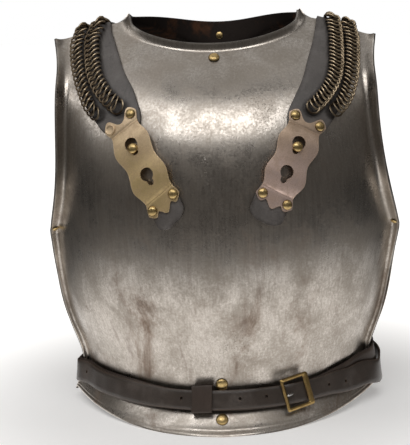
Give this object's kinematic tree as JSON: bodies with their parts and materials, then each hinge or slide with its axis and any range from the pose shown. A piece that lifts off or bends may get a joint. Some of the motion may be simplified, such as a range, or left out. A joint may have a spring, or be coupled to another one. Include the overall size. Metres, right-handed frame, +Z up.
{
  "type": "cuirass",
  "caption": "Steel cavalry cuirass: ridged breastplate and backplate joined by chain-covered leather shoulder straps with pierced brass plates and a buckled waist belt.",
  "frame": {"origin": "centre of the bounding box on the floor the plates stand on", "axes": "+Z up, -Y towards the chest, +X to the wearer's left"},
  "size_m": [0.3845, 0.261, 0.4358],
  "materials": {
    "steel": "worn polished steel with brown stains and pitting",
    "strap_plates": "dull browned brass sheet",
    "rivets": "polished domes, dark at the foot",
    "chains": "darkened wire links",
    "buckle": "worn cast brass",
    "prong": "bare steel wire",
    "strap_leather": "grey-black grained leather",
    "belt_leather": "dark brown worn leather"
  },
  "bodies": {
    "root": {"breastplate": "steel", "backplate": "steel", "neck_rivet": "rivets", "waist_rivet_upper": "rivets", "waist_rivet_lower": "rivets", "side_rivet_left": "rivets", "side_rivet_right": "rivets", "collar_rivet": "rivets", "strap_leather_left": "strap_leather", "chain_left_inner": "chains", "chain_left_outer": "chains", "strap_plate_left": "strap_plates", "pull_tab_left": "strap_leather", "plate_rivet_left_top_inner": "rivets", "plate_rivet_left_top_outer": "rivets", "plate_rivet_left_foot_inner": "rivets", "plate_rivet_left_foot_outer": "rivets", "strap_stud_left": "rivets", "strap_rivet_left_inner": "rivets", "strap_rivet_left_outer": "rivets", "belt_rivet_left": "rivets", "strap_leather_right": "strap_leather", "chain_right_inner": "chains", "chain_right_outer": "chains", "strap_plate_right": "strap_plates", "pull_tab_right": "strap_leather", "plate_rivet_right_top_inner": "rivets", "plate_rivet_right_top_outer": "rivets", "plate_rivet_right_foot_inner": "rivets", "plate_rivet_right_foot_outer": "rivets", "strap_stud_right": "rivets", "strap_rivet_right_inner": "rivets", "strap_rivet_right_outer": "rivets", "belt_rivet_right": "rivets", "belt_inner": "belt_leather", "belt_outer": "belt_leather", "belt_keeper": "belt_leather", "buckle_frame": "buckle", "buckle_prong": "prong"}
  },
  "joints": []
}
